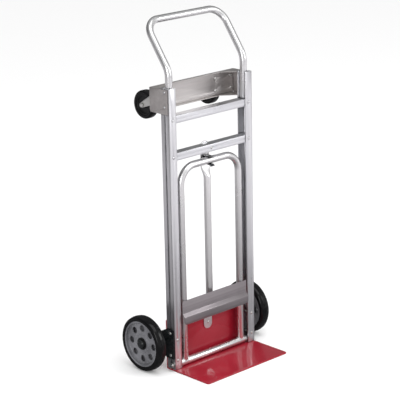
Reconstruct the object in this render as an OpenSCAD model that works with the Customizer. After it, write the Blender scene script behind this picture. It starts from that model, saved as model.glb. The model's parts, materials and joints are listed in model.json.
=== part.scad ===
// Convertible hand truck, in millimetres. It stands upright on its nose plate and two main wheels.
// X runs across the frame, +Y from the nose plate back to the operator, +Z up from the floor.
// The origin is on the floor, on the centre line, under the front faces of the side rails.
// A pin or sleeve that turns has run_gap around it. Pieces on different bodies keep move_gap.

/* [Overall] */
// Width over the two side rails
frame_w = 400; // [340:5:480]
// Height of the side rails' top ends above the floor
rail_top = 1031; // [850:1:1300]

/* [Side rails] */
// Depth of a rail, front to back
rail_d = 41.5; // [38:0.5:50]
// Width of a rail's front and rear flanges
flange_w = 32; // [26:0.5:40]
// Wall of the rail extrusion
rail_t = 3; // [2:0.25:4]
// Width of the groove down a rail's outer side
groove_w = 10; // [8:0.5:13]
// Depth of that groove
groove_d = 5; // [3:0.5:7]

/* [Cross bars] */
// Height of a cross bar's box section
bar_h = 26.5; // [20:0.5:34]
// Wall of the box section
bar_t = 2.5; // [1.5:0.25:3.5]
// Distance of the upper cross bar's middle below the rails' top ends
upper_bar_drop = 111.5; // [108:0.5:140]
// Distance of the middle cross bar's middle below the rails' top ends
middle_bar_drop = 243.7; // [180:0.1:300]

/* [Tubes] */
// Outside diameter of the handle, hoop and strut tubes
tube_d = 25.4; // [19:0.1:28]
// Wall of those tubes
tube_t = 2; // [1.2:0.1:3]

/* [Handle] */
// Length of each handle leg below the rail's top end
handle_tail = 95; // [60:1:96]
// Height of the handle's lower bend corner above the rail's top end
handle_rise = 57; // [40:1:90]
// Slant length from the lower bend corner to the top bar's centre line
handle_slant = 195; // [150:1:260]
// Lean of the handle's upper part towards the operator
handle_lean = 36; // [15:1:50]
// Centre-line radius of the lower bends
handle_bend_r = 70; // [40:1:90]
// Centre-line radius of the two top corners
handle_corner_r = 58; // [35:1:80]

/* [Nose plate] */
// Reach of the nose plate ahead of the rails
nose_len = 168; // [120:1:260]
// Thickness of the plate
nose_t = 5; // [3:0.5:8]
// Height of the plate's upright behind the rails
nose_back_h = 185; // [170:1:240]
// Radius of the plate's front corners
nose_corner_r = 9; // [4:1:40]
// Distance of each nose bolt in from the rail's outer side
nose_bolt_in = 13; // [12:0.5:15]
// Height of the lower nose bolts
nose_bolt_low = 40; // [37:1:44]
// Height of the upper nose bolts
nose_bolt_high = 118; // [110:1:122]

/* [Folding hoop] */
// Distance of each leg's centre line in from the rail's flange
hoop_leg_in = 27; // [18:0.5:60]
// Distance of the hoop's top bar below the middle cross bar, between centre lines
hoop_top_drop = 46.3; // [40:0.1:80]
// Centre-line radius of the hoop's top corners
hoop_corner_r = 65; // [40:1:90]
// Space between the nose plate and the hoop's cross tube
pivot_lift = 2.3; // [1:0.1:6]
// Diameter of the hinge rod
pivot_d = 10; // [8:0.5:11]

/* [Hoop plate] */
// Space between each end of the stepped plate and the rail's flange
plate_gap = 8; // [3:0.5:20]
// Wall of the stepped plate
plate_t = 2.5; // [1.5:0.25:4]
// Height of the plate's top edge
plate_top = 255; // [230:1:320]
// Height of the upper edge of its step
step_top = 208; // [204:1:225]
// Height of the lower edge of its step
step_low = 197; // [190:1:202]
// Height of the plate's bottom edge
plate_low = 168; // [150:1:180]
// Distance that the lower part stands forward of the upper part
step_out = 11; // [5:0.5:13]
// Radius of the plate's lower corners
plate_corner_r = 12; // [4:1:20]

/* [Centre strut] */
// Width of the strut's flattened ends
strut_flat_w = 40; // [30:1:48]
// Thickness of the flattened ends
strut_flat_t = 4; // [3:0.25:5]
// Height of the lower end of the strut
strut_low = 100; // [60:1:110]
// Height of the bolt in the lower end
strut_bolt_z = 126; // [122:1:130]
// Length of each flattened end
strut_flat_len = 62; // [55:1:80]
// Length of each change from flat to round
strut_taper = 45; // [30:1:70]

/* [Main wheels] */
// Diameter of a main wheel
wheel_d = 203.2; // [180:0.1:260]
// Width of the tyre
wheel_w = 41.7; // [34:0.1:55]
// Distance from the rail's outer side to the tyre
wheel_gap = 40; // [30:1:60]
// Distance of the axle behind the rails' front faces
axle_y = 97.5; // [80:0.5:130]
// Diameter of the axle
axle_d = 15.9; // [12:0.1:19]
// Radius of the rim under the tyre
rim_r = 84.5; // [75:0.5:90]
// Depth of the outer wheel disc behind the tyre's outer face
disc_in = 13.5; // [6:0.5:18]
// Distance from the outer wheel disc to the inner one, front face to front face
disc_pitch = 18; // [8:0.5:19]
// Diameter of the round holes in the discs
disc_hole_d = 25; // [14:1:30]
// Radius of the circle those holes stand on
disc_hole_pcr = 57; // [50:0.5:60]
// Number of those holes
disc_holes = 8; // [5:1:8]
// Diameter of the wheel's hub
hub_d = 45; // [38:1:56]

/* [Axle brackets] */
// Thickness of the bracket plates
bracket_t = 4; // [3:0.5:6]
// Height of the bracket's lower front corner
bracket_low = 46; // [44:1:50]
// Height of the bracket's upper front corner
bracket_high = 154; // [150:1:165]
// Distance of each bracket bolt from the bracket's nearest corner height
bracket_bolt_in = 12; // [11:0.5:14]

/* [Caster channel] */
// Distance from the rails' front faces to the channel's rear face
channel_y = 96; // [90:0.5:120]
// Sheet thickness of the channel
channel_t = 2; // [1.5:0.25:3]
// Distance of the channel's upper edge below the rails' top ends
channel_drop = 4; // [0:0.5:8]
// Height of the channel, lower edge to upper edge
channel_h = 87; // [80:0.5:88]
// Width of the lips along the middle of the channel
lip_w = 11; // [6:0.5:16]
// Length at each end over which the lips widen
gusset_len = 75; // [50:1:90]

/* [Casters] */
// Distance of each caster's swivel line in from the rail's outer side
caster_in = 50; // [48:1:80]
// Diameter of a caster wheel
caster_wheel_d = 102; // [76:1:125]
// Width of a caster wheel
caster_wheel_w = 32; // [24:1:38]
// Space between the channel's rear face and the caster wheel
caster_gap = 26; // [20:1:40]
// Distance of the caster's axle below the swivel line
caster_trail = 37; // [25:1:45]
// Length of the caster's mounting plate across the frame
caster_plate_w = 95; // [90:1:95]
// Distance of the swivel line above the channel's lower edge
caster_rise = 42; // [38:0.5:48]
// Height of the caster's mounting plate
caster_plate_h = 67; // [60:1:75]
// Bolt spacing across the frame
caster_bolt_dx = 76.2; // [70:0.1:80]
// Bolt spacing up the frame
caster_bolt_dz = 44.5; // [40:0.1:50]

/* [Fits] */
// Radial clearance of a pin, rod or sleeve that turns
run_gap = 0.05; // [0.02:0.01:0.1]
// Radial clearance of a bolt or rivet in its hole
bolt_gap = 0.1; // [0:0.05:0.5]
// Clearance between faces that move past each other
move_gap = 0.4; // [0.3:0.1:1]
// Radial clearance of a nut's thread on its bolt
thread_gap = 0.05; // [0.02:0.01:0.1]

/* [Hidden] */
$fn = 48;
far = 1;
bend_thin = 0.05;
tube_r = tube_d / 2;
rail_low = nose_t;
rail_x = frame_w / 2;
upper_bar_z = rail_top - upper_bar_drop;
middle_bar_z = rail_top - middle_bar_drop;
hoop_top_z = middle_bar_z - hoop_top_drop;
channel_low = rail_top - channel_drop - channel_h;
mid_y = rail_d / 2;
// Where the rail's inner ridge, the back of the groove, meets the handle's legs
ridge_x = rail_x - groove_d - rail_t;
ridge_w = groove_w + 2 * rail_t;
handle_x = ridge_x - tube_r;
flat_back_y = rail_d;
flat_front_y = rail_d - strut_flat_t;
bar_back_y = flat_front_y;

// Fasteners
rivet_r = 2.4;
rivet_head_r = 4.8;
rivet_head_h = 2.2;
m6_r = 3;
m6_head_r = 6;
m6_nut_r = 5.8;
m6_nut_h = 5;
m8_r = 4;
m8_nut_r = 7.4;
m8_nut_h = 6.4;
bar_rivet_x = rail_x - flange_w / 2 - 0.5;
nose_bolt_x = rail_x - nose_bolt_in;
bolt_z_low = bracket_low + bracket_bolt_in;
bolt_z_high = bracket_high - bracket_bolt_in;
channel_mid_z = channel_low + channel_h / 2;
channel_rivet_z = channel_mid_z + 8;
channel_rivet_dz = 51;

// Hoop and its hinge: the plate's front lies flush with the rails' front faces
pivot_y = plate_t + tube_r;
pivot_z = nose_t + pivot_lift + tube_r;
pivot_r = pivot_d / 2;
rail_inner_x = rail_x - flange_w;
hoop_w = 2 * (rail_inner_x - hoop_leg_in);
plate_w = 2 * (rail_inner_x - plate_gap);
cross_tube_x = rail_inner_x - 1.5;
bush_flange = 1;
clip_gap = 0.9;
clip_t = 1.8;
clip_w = 20;

// Main wheel, measured outwards from the centre line
wheel_r = wheel_d / 2;
wheel_in_x = rail_x + wheel_gap;
wheel_out_x = wheel_in_x + wheel_w;
disc_x = wheel_out_x - disc_in;
disc_t = 4;
hub_in_x = wheel_in_x - 1.5;
hub_out_x = wheel_out_x - 7;
axle_r = axle_d / 2;
bearing_r = axle_r + 6;
bearing_len = 11;
bracket_x = rail_x + bracket_t;
washer_t = 1.6;
cap_len = 5;
cap_wall = 1.6;
cap_over = 9;

// Caster, measured from the channel's rear face along its swivel line
caster_x = rail_x - caster_in;
caster_z = channel_low + caster_rise;
caster_reach = caster_gap + caster_wheel_d / 2;
caster_plate_t = 3.5;
race_t = 3.5;
crown_y = caster_plate_t + race_t + move_gap;
crown_t = 3.5;
fork_t = 2.5;
fork_in_x = caster_wheel_w / 2 + 2;
kingpin_r = 6;
caster_pin_r = 5;
sleeve_r = 6.3;

// ---- Helpers -------------------------------------------------------------

module both_sides() {
    children();
    mirror([1, 0, 0]) children();
}

module left_side() {
    mirror([1, 0, 0]) children();
}

module rod_x(x0, x1, y, z, r) {
    translate([x0, y, z]) rotate([0, 90, 0]) cylinder(h = x1 - x0, r = r);
}

module rod_y(x, y0, y1, z, r) {
    translate([x, y0, z]) rotate([-90, 0, 0]) cylinder(h = y1 - y0, r = r);
}

module block(x0, x1, y0, y1, z0, z1) {
    translate([x0, y0, z0]) cube([x1 - x0, y1 - y0, z1 - z0]);
}

// A domed head of radius r that stands h high on the plane z = 0
module dome(r, h) {
    ball_r = (r * r + h * h) / (2 * h);
    intersection() {
        translate([0, 0, h - ball_r]) sphere(r = ball_r);
        cylinder(h = h + 1, r = r);
    }
}

// A hexagon nut on the plane z = 0, for a bolt of radius bolt_r
module nut(r, h, bolt_r) {
    difference() {
        cylinder(h = h, r = r, $fn = 6);
        translate([0, 0, -far]) cylinder(h = h + 2 * far, r = bolt_r + thread_gap);
    }
}

// A bend of round bar about the z axis. The wall thins a little in a bend, and each end runs
// 1 mm into the straight bar beyond it.
module bar_bend(r, bend_r, angle) {
    lap = 180 / (PI * bend_r);
    rotate([0, 0, -lap]) rotate_extrude(angle = angle + 2 * lap)
        translate([bend_r, 0]) circle(r = r - bend_thin);
}

// Where a line from point p touches a circle about c; side picks one of the two lines
function touch_point(p, c, r, side) =
    let (d = norm(c - p), a = atan2(p[1] - c[1], p[0] - c[0]) + side * acos(r / d))
    c + r * [cos(a), sin(a)];

// A quarter-round corner cutter for a plate's square corner at the origin
module corner_cut(r, h) {
    difference() {
        translate([-r, -r, 0]) cube([r + far, r + far, h]);
        translate([-r, -r, -far]) cylinder(h = h + 2 * far, r = r);
    }
}

// ---- Frame ---------------------------------------------------------------

// The rail's channel section, open towards the centre line, with a grooved outer side
module rail_section() {
    lip_y = 4.2;
    lip_w2 = 1.4;
    lip_d = 0.8;
    polygon([
        [rail_inner_x, 0],
        [rail_x, 0],
        [rail_x, lip_y - lip_w2 / 2],
        [rail_x - lip_d, lip_y - lip_w2 / 2],
        [rail_x - lip_d, lip_y + lip_w2 / 2],
        [rail_x, lip_y + lip_w2 / 2],
        [rail_x, mid_y - groove_w / 2],
        [rail_x - groove_d, mid_y - groove_w / 2],
        [rail_x - groove_d, mid_y + groove_w / 2],
        [rail_x, mid_y + groove_w / 2],
        [rail_x, rail_d],
        [rail_inner_x, rail_d],
        [rail_inner_x, rail_d - rail_t],
        [rail_x - rail_t, rail_d - rail_t],
        [rail_x - rail_t, mid_y + ridge_w / 2],
        [ridge_x, mid_y + ridge_w / 2],
        [ridge_x, mid_y - ridge_w / 2],
        [rail_x - rail_t, mid_y - ridge_w / 2],
        [rail_x - rail_t, rail_t],
        [rail_inner_x, rail_t]
    ]);
}

module rail() {
    difference() {
        translate([0, 0, rail_low]) linear_extrude(height = rail_top - rail_low) rail_section();
        for (z = [upper_bar_z, middle_bar_z])
            rod_y(bar_rivet_x, -far, rail_t + far, z, rivet_r + bolt_gap);
        for (z = [nose_bolt_low, nose_bolt_high])
            rod_y(nose_bolt_x, -far, rail_d + far, z, m6_r + bolt_gap);
        for (z = [bolt_z_low, bolt_z_high])
            rod_x(ridge_x - far, rail_x + far, mid_y, z, m6_r + bolt_gap);
        for (s = [-1, 1])
            rod_x(ridge_x - far, rail_x + far, mid_y,
                channel_rivet_z + s * channel_rivet_dz / 2, rivet_r + bolt_gap);
        rod_x(ridge_x - far, rail_x + far, pivot_y, pivot_z, pivot_r + bolt_gap);
    }
}

module rail_left() {
    color("gainsboro") left_side() rail();
}

module rail_right() {
    color("gainsboro") rail();
}

// A box-section bar whose ends sit inside the rails against the ridges
module crossbar(z) {
    difference() {
        block(-ridge_x, ridge_x, rail_t, bar_back_y, z - bar_h / 2, z + bar_h / 2);
        block(-ridge_x - far, ridge_x + far, rail_t + bar_t, bar_back_y - bar_t,
            z - bar_h / 2 + bar_t, z + bar_h / 2 - bar_t);
        both_sides() rod_y(bar_rivet_x, 0, rail_t + bar_t + far, z, rivet_r + bolt_gap);
    }
}

module crossbar_upper() {
    color("silver") crossbar(upper_bar_z);
}

module crossbar_middle() {
    color("silver") difference() {
        crossbar(middle_bar_z);
        rod_y(0, 0, rail_d, middle_bar_z, rivet_r + bolt_gap);
    }
}

// Blind rivets through the rails' front flanges into the bars
module crossbar_rivets() {
    color("whitesmoke") both_sides() for (z = [upper_bar_z, middle_bar_z]) {
        translate([bar_rivet_x, 0, z]) rotate([90, 0, 0]) dome(rivet_head_r, rivet_head_h);
        rod_y(bar_rivet_x, -0.01, rail_t + bar_t, z, rivet_r);
        rod_y(bar_rivet_x, rail_t + bar_t, rail_t + bar_t + 3, z, rivet_r + 1.2);
    }
}

// The flat toe and the upright behind the rails, one bent sheet
module nose_plate() {
    color("firebrick") difference() {
        union() {
            block(-rail_x, rail_x, -nose_len, rail_d + nose_t, 0, nose_t);
            block(-rail_x, rail_x, rail_d, rail_d + nose_t, 0, nose_back_h);
        }
        both_sides() translate([rail_x, -nose_len, -far]) rotate([0, 0, -90])
            corner_cut(nose_corner_r, nose_t + 2 * far);
        translate([-rail_x - far, rail_d + nose_t, 0]) rotate([0, 90, 0])
            corner_cut(nose_t - 0.5, 2 * (rail_x + far));
        both_sides() for (z = [nose_bolt_low, nose_bolt_high])
            rod_y(nose_bolt_x, rail_d - far, rail_d + nose_t + far, z, m6_r + bolt_gap);
        rod_y(0, rail_d - far, rail_d + nose_t + far, strut_bolt_z, m6_r + bolt_gap);
    }
}

// Long bolts from the rail's front face through both flanges and the upright
module nose_bolts() {
    back = rail_d + nose_t;
    color("whitesmoke") both_sides() for (z = [nose_bolt_low, nose_bolt_high]) {
        translate([nose_bolt_x, 0, z]) rotate([90, 0, 0]) dome(m6_head_r - 0.6, rivet_head_h);
        rod_y(nose_bolt_x, -0.01, back + m6_nut_h + 1.5, z, m6_r);
        translate([nose_bolt_x, back, z]) rotate([-90, 0, 0]) nut(m6_nut_r, m6_nut_h, m6_r);
    }
}

// ---- Handle --------------------------------------------------------------

// The handle's path as a solid bar of radius r; end runs it past its lower ends
module handle_path(r, end) {
    bend_run = handle_bend_r * tan(handle_lean / 2);
    bend_z = rail_top + handle_rise;
    corner_x = handle_x - handle_corner_r;
    corner_z = handle_slant - handle_corner_r;
    both_sides() {
        translate([handle_x, mid_y, rail_top - handle_tail - end])
            cylinder(h = handle_tail + handle_rise - bend_run + end, r = r);
        translate([handle_x, mid_y + handle_bend_r, bend_z - bend_run])
            rotate([0, 90, 0]) rotate([0, 0, 270 - handle_lean])
                bar_bend(r, handle_bend_r, handle_lean);
        translate([0, mid_y, bend_z]) rotate([-handle_lean, 0, 0]) {
            translate([handle_x, 0, bend_run]) cylinder(h = corner_z - bend_run, r = r);
            translate([corner_x, 0, corner_z]) rotate([90, 0, 0])
                bar_bend(r, handle_corner_r, 90);
        }
    }
    translate([0, mid_y, bend_z]) rotate([-handle_lean, 0, 0])
        rod_x(-corner_x, corner_x, 0, handle_slant, r);
}

// One bent tube whose legs stand inside the tops of the rails
module handle_loop() {
    color("lightgray") difference() {
        handle_path(tube_r, 0);
        handle_path(tube_r - tube_t, far);
        both_sides() for (s = [-1, 1])
            rod_x(handle_x, rail_x, mid_y,
                channel_rivet_z + s * channel_rivet_dz / 2, rivet_r + bolt_gap);
    }
}

// ---- Caster channel ------------------------------------------------------

// A lip in plan: narrow along the middle, widening to a gusset at each end
module channel_lip() {
    front = channel_y - channel_t - lip_w;
    polygon([
        [-rail_x, channel_y],
        [-rail_x, rail_d + move_gap],
        [-rail_x + 25, rail_d + move_gap],
        [-rail_x + gusset_len, front],
        [rail_x - gusset_len, front],
        [rail_x - 25, rail_d + move_gap],
        [rail_x, rail_d + move_gap],
        [rail_x, channel_y]
    ]);
}

// A folded sheet box: rear web, side plates on the rails' outer sides, and two lips
module caster_channel() {
    top = channel_low + channel_h;
    color("darkgray") difference() {
        union() {
            block(-rail_x - channel_t, rail_x + channel_t, channel_y - channel_t, channel_y,
                channel_low, top);
            both_sides() block(rail_x, rail_x + channel_t, 5, channel_y, channel_low, top);
            for (z = [channel_low, top - channel_t])
                translate([0, 0, z]) linear_extrude(height = channel_t) channel_lip();
        }
        both_sides() for (s = [-1, 1])
            rod_x(rail_x - far, rail_x + channel_t + far, mid_y,
                channel_rivet_z + s * channel_rivet_dz / 2, rivet_r + bolt_gap);
        both_sides() for (sx = [-1, 1], sz = [-1, 1])
            rod_y(caster_x + sx * caster_bolt_dx / 2, channel_y - channel_t - far,
                channel_y + far, caster_z + sz * caster_bolt_dz / 2, m8_r - 1 + bolt_gap);
        both_sides() translate([rail_x - far, channel_y, channel_low]) rotate([0, 90, 0])
            corner_cut(10, channel_t + 2 * far);
    }
}

// Rivets through the channel's side plate, the rail's ridge and the handle's leg
module channel_rivets() {
    out_x = rail_x + channel_t;
    in_x = handle_x + tube_r - tube_t - 1.4;
    color("whitesmoke") both_sides() for (s = [-1, 1]) {
        z = channel_rivet_z + s * channel_rivet_dz / 2;
        translate([out_x, mid_y, z]) rotate([0, 90, 0]) dome(rivet_head_r, rivet_head_h);
        rod_x(in_x, out_x + 0.01, mid_y, z, rivet_r);
        rod_x(in_x - 3, in_x, mid_y, z, rivet_r + 1);
    }
}

// ---- Centre strut --------------------------------------------------------

strut_y = flat_back_y - tube_r;
strut_high = middle_bar_z + 20.5;
strut_round_low = strut_low + strut_flat_len + strut_taper;
strut_flat_high = strut_high - 88;
strut_round_high = strut_flat_high - strut_taper;

// A flattened end between heights z0 and z1, rounded at end_z
module strut_flat(z0, z1, end_z, side) {
    r = strut_flat_w / 2;
    mid = end_z - side * r;
    rod_y(0, flat_front_y, flat_back_y, mid, r);
    block(-r, r, flat_front_y, flat_back_y, min(z0, z1), max(z0, z1));
}

// The pressed change from round tube at z0 to flat strip at z1
module strut_taper_part(z0, z1) {
    thin = 0.2;
    up = z1 > z0 ? 1 : -1;
    hull() {
        translate([0, strut_y, min(z0, z0 - up * thin)]) cylinder(h = thin, r = tube_r, $fn = 48);
        block(-strut_flat_w / 2, strut_flat_w / 2, flat_front_y, flat_back_y,
            min(z1, z1 + up * thin), max(z1, z1 + up * thin));
    }
}

// A tube pressed flat at both ends, from the nose upright to behind the middle bar
module centre_strut() {
    r = strut_flat_w / 2;
    color("lightgray") difference() {
        union() {
            strut_flat(strut_low + r, strut_low + strut_flat_len, strut_low, -1);
            strut_taper_part(strut_round_low, strut_low + strut_flat_len);
            translate([0, strut_y, strut_round_low])
                cylinder(h = strut_round_high - strut_round_low, r = tube_r);
            strut_taper_part(strut_round_high, strut_flat_high);
            strut_flat(strut_flat_high, strut_high - r, strut_high, 1);
        }
        translate([0, strut_y, strut_round_low + 1])
            cylinder(h = strut_round_high - strut_round_low - 2, r = tube_r - tube_t);
        rod_y(0, flat_front_y - far, rail_d + far, strut_bolt_z, m6_r + bolt_gap);
        rod_y(0, flat_front_y - far, rail_d + far, middle_bar_z, rivet_r + bolt_gap);
        rod_y(0, flat_front_y - far, rail_d + far, hoop_top_z, rivet_r + bolt_gap);
    }
}

// The bolt at the strut's foot and the long rivet through the middle bar
module strut_fasteners() {
    back = rail_d + nose_t;
    color("whitesmoke") {
        translate([0, flat_front_y, strut_bolt_z]) rotate([90, 0, 0]) dome(m6_head_r, 3.2);
        rod_y(0, flat_front_y - 0.01, back + m6_nut_h + 1.5, strut_bolt_z, m6_r);
        translate([0, back, strut_bolt_z]) rotate([-90, 0, 0]) nut(m6_nut_r, m6_nut_h, m6_r);
        translate([0, rail_t, middle_bar_z]) rotate([90, 0, 0])
            dome(rivet_head_r, rivet_head_h);
        rod_y(0, rail_t - 0.01, rail_d + 0.01, middle_bar_z, rivet_r);
        translate([0, rail_d, middle_bar_z]) rotate([-90, 0, 0])
            dome(rivet_head_r, rivet_head_h);
    }
}

// ---- Spring clip for the hoop's top bar ----------------------------------

clip_in = tube_r + clip_gap;

// The clip in section, y to the right and z up: a base and two jaws with turned-out lips
module clip_section() {
    front = pivot_y - tube_r + 3;
    out = clip_in + clip_t;
    back = flat_front_y - clip_t;
    polygon([
        [flat_front_y, -out],
        [flat_front_y, out],
        [front, out],
        [front - 6, out + 5],
        [front - 7, out + 3.6],
        [front, clip_in],
        [back, clip_in],
        [back, -clip_in],
        [front, -clip_in],
        [front - 7, -out - 3.6],
        [front - 6, -out - 5],
        [front, -out]
    ]);
}

// A folded spring-steel clip, open to the front, riveted to the strut
module hoop_clip() {
    color("dimgray") difference() {
        translate([-clip_w / 2, 0, hoop_top_z]) rotate([90, 0, 90])
            linear_extrude(height = clip_w) clip_section();
        rod_y(0, flat_front_y - clip_t - far, flat_front_y + far, hoop_top_z,
            rivet_r + bolt_gap);
    }
}

module clip_rivet() {
    color("whitesmoke") {
        translate([0, flat_front_y - clip_t, hoop_top_z]) rotate([90, 0, 0])
            dome(rivet_head_r, rivet_head_h);
        rod_y(0, flat_front_y - clip_t - 0.01, rail_d + 0.01, hoop_top_z, rivet_r);
        translate([0, rail_d, hoop_top_z]) rotate([-90, 0, 0]) dome(rivet_head_r, rivet_head_h);
    }
}

// ---- Hinge of the hoop ---------------------------------------------------

// A steel rod through both rails, which the hoop turns on
module pivot_rod() {
    end_x = rail_x + washer_t + m8_nut_h + 2.5;
    color("silver") rod_x(-end_x, end_x, pivot_y, pivot_z, pivot_r);
}

module pivot_nuts() {
    color("whitesmoke") both_sides() {
        difference() {
            rod_x(rail_x, rail_x + washer_t, pivot_y, pivot_z, pivot_r + 5);
            rod_x(rail_x - far, rail_x + washer_t + far, pivot_y, pivot_z, pivot_r);
        }
        translate([rail_x + washer_t, pivot_y, pivot_z]) rotate([0, 90, 0])
            nut(pivot_r + 4, m8_nut_h, pivot_r);
    }
}

// Sleeves on the rod between each rail's ridge and the hoop
module pivot_spacers() {
    x0 = cross_tube_x + bush_flange + move_gap;
    color("darkgray") both_sides() difference() {
        rod_x(x0, ridge_x, pivot_y, pivot_z, pivot_r + 3);
        rod_x(x0 - far, ridge_x + far, pivot_y, pivot_z, pivot_r + bolt_gap);
    }
}

// ---- Folding hoop --------------------------------------------------------

// The hoop's path as a solid bar of radius r; end runs it past its feet
module hoop_path(r, end) {
    foot_z = pivot_z + 4 - end;
    corner_x = hoop_w / 2 - hoop_corner_r;
    corner_z = hoop_top_z - hoop_corner_r;
    both_sides() {
        translate([hoop_w / 2, pivot_y, foot_z]) cylinder(h = corner_z - foot_z, r = r);
        translate([corner_x, pivot_y, corner_z]) rotate([90, 0, 0])
            bar_bend(r, hoop_corner_r, 90);
    }
    rod_x(-corner_x, corner_x, pivot_y, hoop_top_z, r);
}

// The bent tube, coped over the cross tube at its feet
module hoop_tube() {
    color("lightgray") difference() {
        hoop_path(tube_r, 0);
        hoop_path(tube_r - tube_t, far);
        rod_x(-cross_tube_x - far, cross_tube_x + far, pivot_y, pivot_z, tube_r);
    }
}

module hoop_cross_tube() {
    color("lightgray") difference() {
        rod_x(-cross_tube_x, cross_tube_x, pivot_y, pivot_z, tube_r);
        rod_x(-cross_tube_x - far, cross_tube_x + far, pivot_y, pivot_z, tube_r - tube_t);
    }
}

// Flanged bushes in the ends of the cross tube
module hoop_bushes() {
    color("black") both_sides() difference() {
        union() {
            rod_x(cross_tube_x - 25, cross_tube_x, pivot_y, pivot_z, tube_r - tube_t);
            rod_x(cross_tube_x, cross_tube_x + bush_flange, pivot_y, pivot_z, tube_r - 0.7);
        }
        rod_x(cross_tube_x - 25 - far, cross_tube_x + bush_flange + far, pivot_y, pivot_z,
            pivot_r + run_gap);
    }
}

// The stepped extrusion across the hoop's legs: a load step when the hoop is down
module hoop_plate() {
    half = plate_w / 2;
    color("silver") difference() {
        translate([-half, 0, 0]) rotate([90, 0, 90]) linear_extrude(height = plate_w) polygon([
            [plate_t, plate_top],
            [0, plate_top],
            [0, step_top],
            [-step_out, step_low],
            [-step_out, plate_low],
            [-step_out + plate_t, plate_low],
            [-step_out + plate_t, step_low - 1.2],
            [plate_t, step_top - 1.2]
        ]);
        both_sides() translate([half, -step_out + plate_t + far, plate_low])
            rotate([90, 0, 0]) rotate([0, 0, -90]) corner_cut(plate_corner_r, plate_t + 2 * far);
    }
}

// ---- Axle and main wheels ------------------------------------------------

// A pressed plate on the rail's outer side, tapering back to the axle
module axle_bracket() {
    c = [axle_y, wheel_r];
    eye_r = axle_r + 13;
    low = [rail_d, bracket_low];
    high = [rail_d, bracket_high];
    color("black") difference() {
        union() {
            block(rail_x, bracket_x, 5, rail_d, bracket_low, bracket_high);
            translate([rail_x, 0, 0]) rotate([90, 0, 90]) linear_extrude(height = bracket_t)
                polygon([
                    low,
                    touch_point(low, c, eye_r, 1),
                    c,
                    touch_point(high, c, eye_r, -1),
                    high
                ]);
            rod_x(rail_x, bracket_x, axle_y, wheel_r, eye_r);
            rod_x(bracket_x, bracket_x + 6, axle_y, wheel_r, axle_r + 5);
        }
        rod_x(rail_x - far, bracket_x + 6 + far, axle_y, wheel_r, axle_r);
        for (z = [bolt_z_low, bolt_z_high])
            rod_x(rail_x - far, bracket_x + far, mid_y, z, m6_r + bolt_gap);
    }
}

module axle_bracket_left() {
    left_side() axle_bracket();
}

module axle_bracket_right() {
    axle_bracket();
}

// Bolts through each bracket and the rail's ridge, with nuts inside the rail
module bracket_bolts() {
    color("whitesmoke") both_sides() for (z = [bolt_z_low, bolt_z_high]) {
        translate([bracket_x, mid_y, z]) rotate([0, 90, 0]) dome(m6_head_r, 3.2);
        rod_x(ridge_x - m6_nut_h - 1.5, bracket_x + 0.01, mid_y, z, m6_r);
        translate([ridge_x, mid_y, z]) rotate([0, -90, 0]) nut(m6_nut_r, m6_nut_h, m6_r);
    }
}

module axle() {
    end_x = hub_out_x + move_gap + washer_t + cap_len - cap_wall - bolt_gap;
    color("silver") rod_x(-end_x, end_x, axle_y, wheel_r, axle_r);
}

module axle_spacers() {
    x0 = bracket_x + 6;
    x1 = hub_in_x - move_gap;
    color("dimgray") both_sides() difference() {
        rod_x(x0, x1, axle_y, wheel_r, axle_r + 3);
        rod_x(x0 - far, x1 + far, axle_y, wheel_r, axle_r);
    }
}

module axle_washers() {
    x0 = hub_out_x + move_gap;
    color("whitesmoke") both_sides() difference() {
        rod_x(x0, x0 + washer_t, axle_y, wheel_r, axle_r + 6);
        rod_x(x0 - far, x0 + washer_t + far, axle_y, wheel_r, axle_r);
    }
}

// Pressed caps that keep the wheels on the axle and cover its washers
module axle_caps() {
    x0 = hub_out_x + move_gap + washer_t;
    color("black") both_sides() difference() {
        union() {
            rod_x(x0, x0 + cap_len, axle_y, wheel_r, axle_r + cap_over);
            translate([x0 + cap_len, axle_y, wheel_r]) rotate([0, 90, 0])
                dome(axle_r + cap_over, 3);
        }
        rod_x(x0 - far, x0 + cap_len - cap_wall, axle_y, wheel_r, axle_r);
    }
}

// Two pressed discs in one rim, each with a ring of round holes
module wheel_disc() {
    rim_t = 5;
    rim_in = 3;
    color("gray") difference() {
        union() {
            for (x = [disc_x, disc_x - disc_pitch])
                rod_x(x - disc_t, x, axle_y, wheel_r, rim_r);
            difference() {
                rod_x(wheel_in_x + rim_in, wheel_out_x - rim_in, axle_y, wheel_r, rim_r);
                rod_x(wheel_in_x, wheel_out_x, axle_y, wheel_r, rim_r - rim_t);
            }
        }
        rod_x(wheel_in_x, wheel_out_x, axle_y, wheel_r, hub_d / 2);
        for (i = [0 : disc_holes - 1])
            translate([0, axle_y, wheel_r]) rotate([i * 360 / disc_holes, 0, 0])
                rod_x(wheel_in_x, wheel_out_x, 0, disc_hole_pcr, disc_hole_d / 2);
    }
}

module wheel_hub() {
    color("black") difference() {
        rod_x(hub_in_x, hub_out_x, axle_y, wheel_r, hub_d / 2);
        rod_x(hub_in_x - far, hub_out_x + far, axle_y, wheel_r, axle_r + 1);
        rod_x(hub_in_x - far, hub_in_x + bearing_len, axle_y, wheel_r, bearing_r);
        rod_x(hub_out_x - bearing_len, hub_out_x + far, axle_y, wheel_r, bearing_r);
    }
}

module wheel_bearings() {
    color("silver") difference() {
        union() {
            rod_x(hub_in_x, hub_in_x + bearing_len, axle_y, wheel_r, bearing_r);
            rod_x(hub_out_x - bearing_len, hub_out_x, axle_y, wheel_r, bearing_r);
        }
        rod_x(hub_in_x - far, hub_out_x + far, axle_y, wheel_r, axle_r + run_gap);
    }
}

// A solid ring with a rounded tread
module ring_tyre(r_in, r_out, w, round_r) {
    flat = w / 2 - round_r;
    rotate_extrude() intersection() {
        union() {
            translate([0, -flat]) square([r_out, 2 * flat]);
            translate([0, -w / 2]) square([r_out - round_r, w]);
            for (s = [-1, 1]) translate([r_out - round_r, s * flat]) circle(r = round_r);
        }
        translate([r_in, -w]) square([r_out, 2 * w]);
    }
}

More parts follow.
